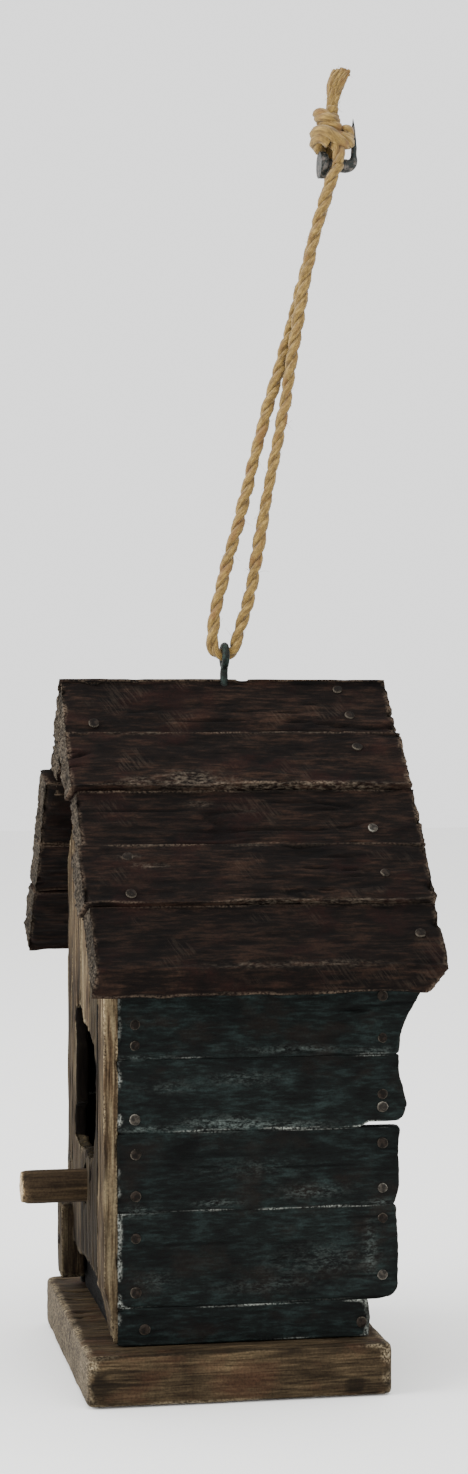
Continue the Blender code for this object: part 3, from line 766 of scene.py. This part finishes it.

# %% [markdown]
# The roof is rough-sawn softwood stained a dark red-brown, the kind of stain that sinks in
# and leaves no skin. It is lightest where the edges are rubbed and on the broken end grain,
# where the bare wood shows, and darkest in the splits, partly dirt and partly painted shade.
# Streaks about a millimetre wide run along the boards. Every wood here is one recipe:
# streaks, then blotches, saw strokes, rubbed edges, scuffs and end grain on top, then each
# board's tone, and last a dark colour in the hollows, splits and the sides of the entrance
# hole, partly dirt and partly painted shade.

# %% Wood finishes


def wood(name, grain_mm, streaks, dark, rubbed, ends, rough=0.86, rub_share=0.9, dirt_and_shade=0.75,
         blotch=None, scuff="#6b6252", saw=0.0, offset=0.0, bare_from=0.25):
    """A weathered wood: streaks and ends are ramps, and dark, rubbed, scuff and the first of
    blotch are hex colours. bare_from is how worn a point is before the rubbed colour shows."""
    made, tree, sockets = new_material(name, rough)
    sockets["IOR"].default_value = 1.45
    sockets["Specular IOR Level"].default_value = 0.08
    worn, rubbed_off, sawn_end, hollow, shade = point_marks(
        tree, "worn", "scuff", "sawn_end", "depth", "shade")
    fine = stretched(tree, grain_mm, 5.0, 0.62, offset)
    broad = stretched(tree, tuple(6 * s if s < 5 else 2 * s for s in grain_mm), 3.0, 0.5, 3.0)
    grit = stretched(tree, (0.7, 0.7, 0.7), 2.0, 0.6, 9.0)
    # in a Mix of plain numbers, inputs 2 and 3 are mixed by input 0
    grain = add(tree, {0: 0.4, 2: fine, 3: broad}, "Mix")
    tint = add(tree, {"Fac": grain}, "ValToRGB", stops=streaks)
    if blotch:
        patch = add(tree, {"Value": stretched(tree, (16, 20, 12), 4.0, 0.6, 21.0),
                           "From Min": 0.50, "From Max": 0.66, "To Max": blotch[1]}, **MASK)
        tint = add(tree, {0: patch, 6: tint, 7: blotch[0]}, **OVER)
    if saw:
        kerf = stretched(tree, (7.0, 0.55, 7.0), 2.0, 0.5, 4.0, tilt=0.6)
        cut = stretched(tree, (14, 14, 10), 2.0, 0.5, 13.0)
        strokes = add(tree, {"Value": cut, "From Min": 0.56, "From Max": 0.66}, **MASK)
        strokes = add(tree, {"Value": kerf, "From Min": 0.46, "From Max": 0.56,
                             "To Max": strokes}, **MASK)
        pale = add(tree, {0: strokes, 1: saw}, "Math", operation="MULTIPLY")
        tint = add(tree, {0: pale, 6: tint, 7: rubbed}, **OVER)
        grain = add(tree, {0: strokes, 1: 0.25, 2: grain}, "Math", operation="MULTIPLY_ADD")
    rubs = add(tree, {"Value": grit, "From Min": 0.34, "From Max": 0.62,
                      "To Max": rub_share}, **MASK)
    rubs = add(tree, {"Value": worn, "From Min": bare_from, "From Max": 0.95,
                      "To Max": rubs}, **MASK)
    tint = add(tree, {0: rubs, 6: tint, 7: rubbed}, **OVER)
    flakes = add(tree, {"Value": stretched(tree, (1.0, 1.9, 0.8), 4.0, 0.7, 17.0),
                        "From Min": 0.42, "From Max": 0.66, "To Max": rubbed_off}, **MASK)
    tint = add(tree, {0: flakes, 6: tint, 7: scuff}, **OVER)
    end_tint = add(tree, {"Fac": grit}, "ValToRGB", stops=ends)
    ended = add(tree, {0: sawn_end, 1: 0.9}, "Math", operation="MULTIPLY")
    tint = add(tree, {0: ended, 6: tint, 7: end_tint}, **OVER)
    # the shade mark scales the colour: each board's tone, plus painted light on the roof boards'
    # lower faces and painted light and shade on the front boards
    lift = add(tree, {"Value": shade, "To Min": 0.15, "To Max": 1.55}, "MapRange")
    speckle = add(tree, {"Value": grit, "From Min": 0.3, "From Max": 0.7, "To Min": 0.7,
                         "To Max": 1.3}, "MapRange")
    lift = add(tree, {0: lift, 1: speckle}, "Math", operation="MULTIPLY")
    tint = add(tree, {0: tint, 1: lift}, "VectorMath", operation="MULTIPLY")
    # dark colour in hollows, splits, saw marks and the entrance hole: partly dirt, partly painted
    # shade
    dirt_and_shade_mask = add(tree, {"Value": hollow, "From Min": 0.25, "From Max": 0.95, "To Max": dirt_and_shade},
                **MASK)
    tint = add(tree, {0: dirt_and_shade_mask, 6: tint, 7: dark}, **OVER)
    varied = add(tree, {"Value": grit, "To Min": rough - 0.1, "To Max": rough + 0.1},
                 "MapRange")
    wire_up(tree, sockets, tint=tint, rough=varied, height=grain, depth_mm=0.3)
    return made


# the grain sizes are the width of a growth ring, about 1 mm, drawn out along the board
ROOF_WOOD = wood("stained_rough_sawn_pine", (1.0, 7.0, 1.0),
                 ((0.36, "#050303"), (0.50, "#120c09"), (0.62, "#291c15")),
                 "#020202", "#52463a", ((0.35, "#140f0b"), (0.65, "#524a3f")),
                 blotch=("#1f0f0c", 0.6), scuff="#544b40", saw=0.12,
                 rub_share=0.8)
# thin old paint: less rough than bare wood, dull blue-green where it has chalked
PAINTED = wood("worn_blue_black_paint_on_pine", (1.3, 5.5, 1.1),
               ((0.36, "#040404"), (0.50, "#090d0c"), (0.64, "#161e1d")),
               "#020202", "#8a8d86", ((0.35, "#0c0c0a"), (0.65, "#2b2a25")),
               rough=0.72, rub_share=0.5, blotch=("#120d0a", 0.6), scuff="#424946",
               bare_from=0.5)
# bare boards, with straw coloured streaks between dark ones
BARE = wood("bare_weathered_pine", (0.8, 0.8, 15.0),
            ((0.36, "#1c130c"), (0.48, "#463828"), (0.62, "#776a52")),
            "#050302", "#8c7e64", ((0.35, "#231b13"), (0.65, "#63573f")), rough=0.88, dirt_and_shade=0.97,
            offset=2.3)
# the base has greyed in the open, and its rubbed edges are the palest wood of all
BASE_PINE = wood("grey_brown_weathered_pine", (0.7, 12.0, 0.7),
                 ((0.36, "#161009"), (0.50, "#30271b"), (0.64, "#4c402e")),
                 "#0c0906", "#8b7f68", ((0.35, "#2c261e"), (0.65, "#5f5648")), rough=0.86,
                 blotch=("#3a261b", 0.45), rub_share=0.5)
# the sill sits in shadow behind the short front boards, so it is made nearly black as painted shade
SILL_PAINTED_SHADE = wood("sill_pine_black_as_painted_shade", (0.9, 0.9, 0.9),
            ((0.36, "#020201"), (0.50, "#060403"), (0.64, "#0e0a07")),
            "#010101", "#15100b", ((0.35, "#050403"), (0.65, "#120e0a")), scuff="#120e0a")
# the dowel is brown on its round side and pale on its sawn end
DOWEL = wood("brown_turned_dowel", (0.9, 22.0, 0.9),
             ((0.34, "#1e160f"), (0.50, "#382d20"), (0.66, "#584833")),
             "#0c0805", "#5d4d38", ((0.35, "#8b775a"), (0.65, "#d0b890")), rough=0.8)
print("wood finishes:", ROOF_WOOD.name, PAINTED.name, BARE.name, BASE_PINE.name, DOWEL.name)

# %% [markdown]
# Five boards a side make the roof, laid front to back. The second and fourth are proud of
# their neighbours, so their lower edges catch light and throw a line of shadow. The front
# ends are cut on a slant, so that their pale end grain shows from the side.

# %% Roof boards
SLOPE = math.atan2(83.0, 79.0)
# the lower-face key paints the lower edge faces of the roof boards lighter, as painted light
ROOF_LOOK = {"rub": 0.65, "chip": 2.2, "fibre": 0.5, "hollow": 0.75, "crack": 1.3,
             "saw": 0.08, "torn": 0.6, "end": 1.9, "reach": (1.9, 1.5), "under": 0.2}
ROOF_SHADES = (0.54, 0.54, 0.44, 0.46, 0.33)
PROUD_BOARDS = (2, 4)
SLANT, SLANT_LENGTH = 2.0, 7.0


def roof_shape(level, side):
    """Lifts the proud boards, lets lower edges wander, keeps the ridge sharp, carries the far
    third board up under its neighbour and slants the front ends."""
    def shape(points, q):
        low, high = points[:, 1].min(), points[:, 1].max()
        down = (high - points[:, 1]) / (high - low)
        outer = np.clip((points[:, 2] - points[:, 2].min()) / np.ptp(points[:, 2]), 0, 1)
        flat = np.stack([points[:, 0], points[:, 0] * 0, points[:, 0] * 0], 1)
        sway = 0.6 * noise(flat, (24, 1, 1), 900 + level) + 0.3 * noise(flat, (7, 1, 1), 930 + level)
        points[:, 1] += 1.2 * sway * down ** 2
        points[:, 2] += outer * (0.7 if level in PROUD_BOARDS else 0.0) * (0.35 + 0.65 * down)
        if level == 1:
            points[:, 1] += 1.5 * (1 - down) ** 3
            points[:, 2] += 0.5 * (1 - down) ** 3
        if level == 3 and side < 0:
            points[:, 2] += 1.6 * outer * (1 - down)
            points[:, 1] += 6.5 * np.clip(1 - down * 4, 0, 1)
        from_front = side * points[:, 0] - (side * points[:, 0]).min()
        short_face = outer if side > 0 else 1 - outer
        points[:, 0] += side * SLANT * short_face * np.clip(1 - from_front / SLANT_LENGTH, 0, 1)
        return points
    return shape


ROOF_SPOTS = ((-10, 44.2, 11, 1.6, 1.0), (-12, 41.5, 7, 1.8, 0.8), (-27, 43.8, 4, 1.5, 0.8),
              (14, 45.2, 20, 0.8, 0.7), (38, 45.2, 14, 0.8, 0.7), (-9, 51.5, 3.5, 1.0, 0.9),
              (6, 54, 3, 1.0, 0.6), (-27, 77.2, 5, 0.8, 0.9), (-33, 74, 3, 1.0, 0.7),
              (8, 91.2, 12, 0.7, 0.8), (36, 91.2, 14, 0.7, 0.8), (4, 69.4, 5, 0.8, 0.7),
              (-26, 69.2, 8, 0.6, 0.7), (2, 113.5, 15, 0.9, 0.8), (28, 113.5, 10, 0.9, 0.7),
              (-24, 23.4, 9, 0.7, 0.6), (30, 23.2, 14, 0.6, 0.5))


def roof_spots(spot):
    """Rubbed places on the roof, from house points; the same on both slopes."""
    run = np.abs(spot[:, 0]) * math.cos(SLOPE) + (213.0 - spot[:, 2]) * math.sin(SLOPE)
    return scuffed(np.stack([spot[:, 1], run], 1), ROOF_SPOTS)


for side, hand in ((1, "right"), (-1, "left")):
    for level in range(1, 6):
        node = "%s_roof_board_%d" % (hand, level)
        piece = weathered(node, node.replace("board", "plank"), (0, side, 0),
                          (side * math.sin(SLOPE), 0, math.cos(SLOPE)), ROOF_WOOD,
                          ROOF_LOOK, 100 + 10 * level + (side > 0), ROOF_SHADES[level - 1],
                          roof_shape(level, side), roof_spots)
        print(piece.name, len(piece.data.polygons), "faces")

# %% [markdown]
# The walls are thinner boards, brushed long ago with a blue-black paint that has gone chalky
# and let go along the front ends and the seams.

# %% Side walls
WALL_LOOK = {"rub": 0.5, "chip": 1.0, "fibre": 0.26, "hollow": 0.45, "crack": 0.8,
             "saw": 0.06, "torn": 0.3, "end": 0.4, "tight": 0.45, "reach": (0.5, 1.2),
             "kept": 0.8}
WALL_SHADES = (0.84, 0.80, 0.69, 0.88, 0.84, 0.80)
WALL_SPOTS = ((-3, 79.6, 10, 2.0, 1.0), (14, 78.8, 12, 0.9, 0.8), (-27, 78.6, 8, 0.7, 0.9),
              (-29, 54.4, 5, 1.4, 1.0), (-5, 56.0, 6, 0.9, 0.8), (24, 58.5, 9, 2.0, 0.5),
              (45, 54.6, 5, 0.8, 0.9), (26, 38.0, 13, 4.0, 0.4), (10, 31.0, 14, 2.0, 0.3),
              (42, 40.0, 1.6, 7, 0.7), (3, 93.0, 10, 2.0, 0.35), (-20, 91.0, 8, 1.6, 0.3),
              (18, 101.4, 14, 1.0, 0.5), (44, 100.4, 6, 0.8, 0.9), (-28, 99.9, 12, 0.6, 0.7),
              (-36.3, 60, 0.7, 60, 0.7), (-24, 33.5, 6, 2.5, 0.3), (4, 66, 16, 3.0, 0.2))


def wall_spots(spot):
    """Rubbed places on a wall, from house points; the same on both walls."""
    return scuffed(spot[:, 1:], WALL_SPOTS)


def closed_slit(side):
    """Draws the fourth board down onto the third, and opens the slit a little at its tail."""
    def shape(points, q):
        low = points[:, 1].min()
        before_tail = np.clip((5.5 - side * points[:, 0]) / 3.0, 0, 1)
        points[:, 1] += (0.9 - 1.7 * before_tail) * np.clip(1 - (points[:, 1] - low) / 4.0, 0, 1)
        return points
    return shape


for side, hand in ((1, "right"), (-1, "left")):
    for level in range(1, 7):
        node = "%s_side_plank_%d" % (hand, level)
        weathered(node, node.replace("plank", "board"), (0, side, 0), (side, 0, 0), PAINTED,
                  WALL_LOOK, 200 + 10 * level + (side > 0),
                  WALL_SHADES[level - 1], closed_slit(side) if level == 4 else None, wall_spots)
print("side walls: 12 boards")

# %% [markdown]
# The front was never painted. Its upright boards are straw coloured, with streaks down the
# grain. They are painted lighter high up and along the near edge, as painted light, and
# nearly black at the foot, as painted shade.

# %% Front and back
# the hole key darkens the sides of the entrance hole, as painted shade
FRONT_LOOK = {"rub": 0.6, "chip": 1.2, "fibre": 0.45, "hollow": 0.45, "crack": 0.9, "saw": 0.05,
              "torn": 0.2, "end": 1.6, "hole": 1.0}
# each front board's tone at the low and high end of its grain, with painted light and shade in it:
# the near board lighter towards its top, the lower boards and the foot dark as painted shade
FRONT_TONE_AND_PAINTED_SHADE = {"front_plank_1": (0.22, 0.86), "front_plank_2": (-0.02, 0.2),
                "front_plank_3_upper": 0.45, "front_plank_3_lower": (-0.04, 0.12),
                "front_plank_4": (0.06, 0.55), "front_plank_5": (0.08, 0.5),
                "front_plank_5_foot": 0.1}
BACK_SHADES = (0.50, 0.56, 0.51, 0.54)


def dropped(points, q):
    """Lets the face away from the look's outer side down by 0.9 mm. On a front board that
    presses it against the ends of the wall boards; on the base it makes up for wear."""
    points[:, 2] -= 0.9 * np.clip((points[:, 2].max() - points[:, 2]) / np.ptp(points[:, 2]), 0, 1)
    return points


for n, (node, shade) in enumerate(FRONT_TONE_AND_PAINTED_SHADE.items()):
    weathered(node, node.replace("plank", "board"), (0, 0, 1), (0, -1, 0), BARE,
              FRONT_LOOK, 300 + 7 * n, shade, dropped)
for n in range(1, 5):
    weathered("back_board_%d" % n, "back_plank_%d" % n, (0, 0, 1), (0, 1, 0), BARE,
              FRONT_LOOK, 370 + 7 * n, BACK_SHADES[n - 1])


def raised(points, q):
    """Carries the sill up behind the ends of the short front boards."""
    top = points[:, 1].max()
    points[:, 1] += 3.0 * np.clip((points[:, 1] - top + 8) / 8, 0, 1)
    return points


weathered("front_sill", "front_sill_board", (1, 0, 0), (0, -1, 0), SILL_PAINTED_SHADE,
          FRONT_LOOK, 399, 0.3, raised)
print("front and back: 12 boards")

# %% [markdown]
# The base is one thick board with its corners rounded over. The perch is a short length of
# dowel pushed into the front, with the pale end grain of a saw cut.

# %% Base and perch
BASE_LOOK = {"rub": 0.8, "chip": 0.5, "fibre": 0.16, "hollow": 0.25, "crack": 0.9, "saw": 0.05,
             "torn": 0.06, "end": 0.2, "reach": (0.5, 1.7), "calm": 0.9}


def thickened(points, q):
    """Thickens the dowel to make up for wear, and lowers it by a third of a millimetre."""
    middle = (points.max(0) + points.min(0)) / 2
    points[:, 1:] += (points[:, 1:] - middle[1:]) * 0.08
    points[:, 2] -= 0.35
    return points


weathered("base_board", "base_plank", (0, 1, 0), (0, 0, 1), BASE_PINE, BASE_LOOK,
          410, 0.72, dropped)
DOWEL_LOOK = {"rub": 0.35, "chip": 0.2, "fibre": 0.16, "hollow": 0.1, "crack": 0.3, "saw": 0.0,
              "torn": 0.08, "end": 0.35}
weathered("perch", "perch_dowel", (0, 1, 0), (0, 0, 1), DOWEL, DOWEL_LOOK, 420,
          0.5, thickened)
print("base and perch done")

# %% [markdown]
# Nails hold every board near both of its ends. A head is a low dome with a rolled rim,
# sunk a little into the wood and never quite level, so each is spun from a profile, dented
# and tipped by its own small angle. Part of each rim is painted paler, partly as rubbing and
# partly as a painted highlight ring, and some heads have been rubbed bright all over.

# %% Nails
ROOF_T = (6.6, 7.8, 6.4, 7.7, 6.8)
NAIL_SIDES, NAIL_SUNK = 20, 0.3


def nail_head(at, along, seed, radius=1.6):
    """Points, faces and the paler part of the rim, partly rubbed and partly a painted
    highlight, of one head and the top of its shank.
    """
    rng = np.random.default_rng(seed)
    tipped = Vector(along) + Vector(rng.normal(0, 0.09, 3))
    radius *= rng.uniform(0.92, 1.06)
    profile = [(0.05, -3.4), (0.6, -3.0), (0.6, -1.1), (radius * 0.9, -0.8), (radius, -0.35),
               (radius * 0.93, 0.1), (radius * 0.6, 0.3), (0.05, 0.25)]
    points, faces, _ = turned(profile, np.asarray(at) - NAIL_SUNK * np.asarray(along), tipped,
                              sides=NAIL_SIDES, dent=0.12, dent_size=0.9, seed=seed)
    ring, turn = np.divmod(np.arange(len(points)), NAIL_SIDES)
    # the paler arc and faint ring round each rim: partly rubbing, partly a painted highlight
    bright = 0.25 + 0.75 * (np.cos(turn * math.pi / 10 - rng.uniform(0, 6.3)) > 0.1)
    return points, faces, {"rim": np.exp(-((ring - 18.5) / 2.2) ** 2) * bright}


def on_roof(side, level, y, run):
    """Place and direction of a nail on a roof board, run millimetres down from the ridge."""
    lift = ROOF_T[level - 1] - ROOF_T[0]
    return ((side * (run * math.cos(SLOPE) + lift * math.sin(SLOPE)), y,
             213.0 - run * math.sin(SLOPE) + lift * math.cos(SLOPE)),
            (side * math.sin(SLOPE), 0, math.cos(SLOPE)))


def put_nail(name, at, along, seed, replaces=(), bright=False):
    points, faces, marks = nail_head(at, along, seed)
    finished(name, house(points), faces, "house", BRIGHT_STEEL if bright else NAIL_STEEL,
             replaces, marks)


WALL = ((-29.9, 103.6), (-29.9, 81.6), (-29.6, 58.8), (-29.6, 30.3), (-26.9, 19.2),
        (45.7, 104.2), (45.7, 83.4), (45.7, 58.9), (45.7, 32.7), (-29.9, 109.8), (-29.6, 71.3),
        (-29.6, 46.3), (45.7, 116.9), (45.7, 87.3), (45.7, 72.5), (45.7, 49.9), (39.2, 18.6))
ROOF = ((1, 43.8, 14.8), (3, 43.5, 62.0), (4, 43.9, 80.9), (4, -32.9, 73.6), (5, 50.8, 103.3),
        (1, 41.6, 3.4), (2, 43.7, 29.5), (4, -33.2, 87.8), (1, -37.9, 18.3))
for side, hand in ((1, "right"), (-1, "left")):
    for n, (y, z) in enumerate(WALL, 1):
        put_nail("%s_wall_nail_head_%d" % (hand, n), (side * 46.0, y, z), (side, 0, 0),
                 500 + n + 50 * side, ["wall_nail_%d" % n] if side > 0 and n <= 9 else (),
                 n in (2, 7, 8, 9))
    for n, (level, y, run) in enumerate(ROOF, 1):
        at, along = on_roof(side, level, y, run)
        put_nail("%s_roof_nail_head_%d" % (hand, n), at, along, 600 + n + 50 * side,
                 ["roof_nail_%d" % n] if side > 0 and n <= 5 else (), n == 2)
put_nail("front_nail_head_1", (-38.5, -39.8, 57.0), (0, -1, 0), 701, ["front_nail_1"])
put_nail("front_nail_head_2", (-38.5, -43.3, 30.0), (0, -1, 0), 702, ["front_nail_2"])
print("nails:", 2 * (len(WALL) + len(ROOF)) + 2)

# %% [markdown]
# The house stands over a pale floor in a white surround. A large soft light shines from in
# front of the house, where the boards are brightest, with weaker ones overhead and beside
# the camera. Large lights give soft shadows, as a photographer's tent does.

# %% Floor and light
FLOOR_Z = float(house((0, 0, -1.4))[2])
floor_mesh = bpy.data.meshes.new("floor")
floor_mesh.from_pydata([(-4, -4, FLOOR_Z), (4, -4, FLOOR_Z), (4, 4, FLOOR_Z), (-4, 4, FLOOR_Z)],
                       [], [(0, 1, 2, 3)])
floor = bpy.data.objects.new("floor", floor_mesh)
bpy.context.scene.collection.objects.link(floor)
plain, _, sockets = new_material("matt_white_backdrop_paint", 0.95)
sockets["Base Color"].default_value = colour("#f4f4f2")
floor_mesh.materials.append(plain)
floor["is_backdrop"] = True


def soft_light(name, at, look_at, size, watts, tint="#ffffff"):
    lamp = bpy.data.lights.new(name, "AREA")
    lamp.shape, lamp.size, lamp.energy = "DISK", size, watts
    lamp.color = colour(tint)[:3]
    holder = bpy.data.objects.new(name, lamp)
    holder.location = at
    holder.rotation_euler = (Vector(look_at) - Vector(at)).to_track_quat("-Z", "Y").to_euler()
    bpy.context.scene.collection.objects.link(holder)


soft_light("window_side", (0.25, -1.5, 0.35), (0, 0, -0.28), 1.1, 38)
soft_light("overhead", (0.3, 0.2, 1.2), (0, 0, -0.2), 1.2, 11)
soft_light("camera_side", (1.6, 0.5, 0.2), (0, 0, -0.25), 1.2, 10)
surround = bpy.data.worlds.new("surround")
surround.use_nodes = True
surround.node_tree.nodes["Background"].inputs["Color"].default_value = colour("#ffffff")
surround.node_tree.nodes["Background"].inputs["Strength"].default_value = 1.75
bpy.context.scene.world = surround
print("floor at", round(FLOOR_Z, 4))

# %% [markdown]
# Last, the size of what was made is set beside the size of the solids it was made round,
# and the difference is printed.

# %% Sizes and finish
LOOKS_BOX = [list(corner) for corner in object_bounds()]
grown = [round((b1 - a1 - (b0 - a0)) * 1000, 2) for a0, b0, a1, b1 in
         zip(CAD_BOX[0], CAD_BOX[1], LOOKS_BOX[0], LOOKS_BOX[1])]
print("the looks are larger than the solids by (mm):", grown)
